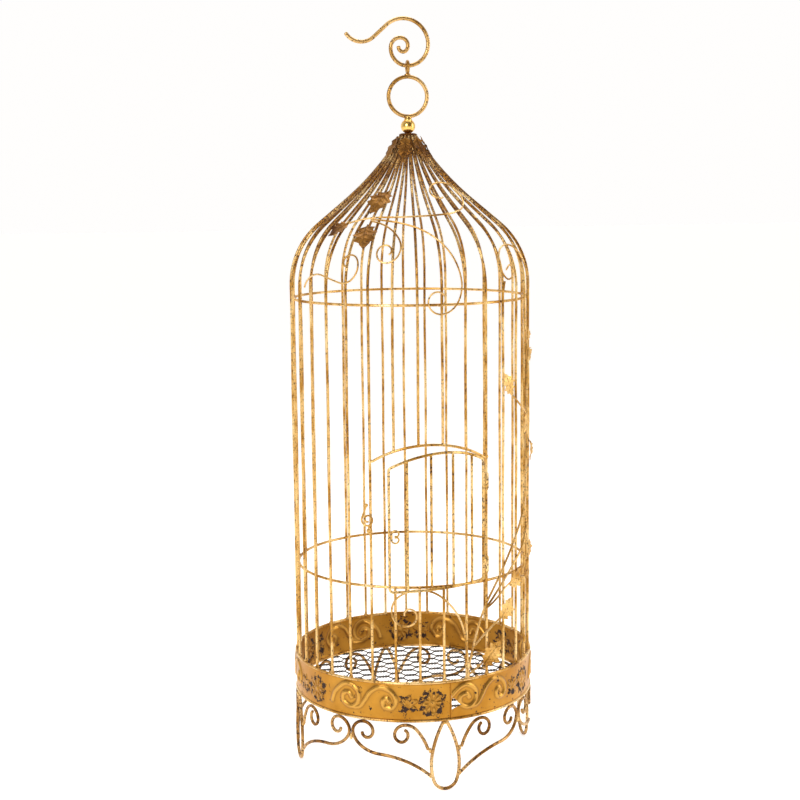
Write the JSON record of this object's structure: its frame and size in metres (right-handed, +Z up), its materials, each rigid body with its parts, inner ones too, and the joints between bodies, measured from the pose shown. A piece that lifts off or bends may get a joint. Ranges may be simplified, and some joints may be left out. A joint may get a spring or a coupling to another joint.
{
  "type": "hanging bird cage on wire feet",
  "caption": "Round wire bird cage with a pointed dome, hanging ring and hook, hinged arched door with latch, embossed base band and scrolled wire feet.",
  "frame": {"origin": "on the cage's axis, at the level of the surface that the feet stand on", "axes": "+Z up along the cage's axis, -Y towards the door, +X to the right of someone facing the door"},
  "size_m": [0.3684, 0.4007, 1.1167],
  "materials": {
    "band_gold": "antiqued gold paint over embossed sheet, dark in the hollows",
    "rim_gold": "antiqued gold paint, satin, brighter on the crown of the bead",
    "netting_wire": "thin gold paint over galvanised wire",
    "antique_gold": "antiqued gold paint, satin, rubbed through to dark bronze in places",
    "door_gold": "antiqued gold paint, speckled with dark bronze",
    "latch_gold": "antiqued gold paint, satin",
    "foot_gold": "antiqued gold paint, satin, dark bronze in the corners",
    "vine_gold": "antiqued gold paint, satin",
    "dark_bronze": "dark bronze patina with little gold",
    "ball_gold": "bright satin gold",
    "ring_gold": "antiqued gold paint, satin, worn dark on the inside",
    "leaf_bronze": "dark bronze with gold rubbed on the raised veins"
  },
  "bodies": {
    "cage": {"base_band": "band_gold", "band_top_rim": "rim_gold", "band_bottom_rim": "rim_gold", "floor_netting": "netting_wire", "mid_hoop": "antique_gold", "dome_hoop": "antique_gold", "bar_01": "antique_gold", "bar_02": "antique_gold", "bar_03": "antique_gold", "bar_04": "antique_gold", "bar_05": "antique_gold", "bar_06": "antique_gold", "bar_07": "antique_gold", "bar_08": "antique_gold", "bar_09": "antique_gold", "bar_10": "antique_gold", "bar_11": "antique_gold", "bar_12": "antique_gold", "bar_13": "antique_gold", "bar_14": "antique_gold", "bar_15": "antique_gold", "bar_16": "antique_gold", "bar_17": "antique_gold", "bar_18": "antique_gold", "bar_19": "antique_gold", "bar_20": "antique_gold", "bar_21": "antique_gold", "bar_22": "antique_gold", "bar_23": "antique_gold", "bar_24": "antique_gold", "bar_25": "antique_gold", "bar_26": "antique_gold", "bar_27": "antique_gold", "bar_28": "antique_gold", "over_door_bars": "antique_gold", "sill_bars": "antique_gold", "opening_arch": "antique_gold", "latch_stud": "latch_gold", "foot_loop_1": "foot_gold", "foot_loop_2": "foot_gold", "foot_loop_3": "foot_gold", "foot_loop_4": "foot_gold", "foot_scrolls": "foot_gold", "foot_braces": "foot_gold", "sill_scroll": "vine_gold", "crown_hub": "dark_bronze", "finial_ball": "ball_gold", "hanging_ring": "ring_gold", "ring_eye": "ring_gold", "crown_leaves": "leaf_bronze", "dome_tendrils": "vine_gold", "dome_leaves": "leaf_bronze", "side_vine": "vine_gold", "vine_leaves": "leaf_bronze"},
    "door": {"door_frame": "door_gold", "door_bars": "door_gold", "door_catch": "door_gold", "hinge_sleeves": "door_gold"},
    "latch": {"latch": "latch_gold"},
    "hook": {"hook": "ring_gold"}
  },
  "joints": [
    {"name": "door_hinge", "type": "hinge", "parent": "cage", "child": "door", "pos_m": [0.08391, -0.15698, 0.3905], "axis": [0, 0, 1], "range_deg": [-19, 95]},
    {"name": "latch_pivot", "type": "hinge", "parent": "cage", "child": "latch", "pos_m": [-0.08391, -0.15698, 0.386], "axis": [-0.4714, -0.8819, 0], "range_deg": [-80, 80]},
    {"name": "hook_swing", "type": "hinge", "parent": "cage", "child": "hook", "pos_m": [0, 0, 1.04576], "axis": [1, 0, 0], "range_deg": [-110, 110]}
  ]
}
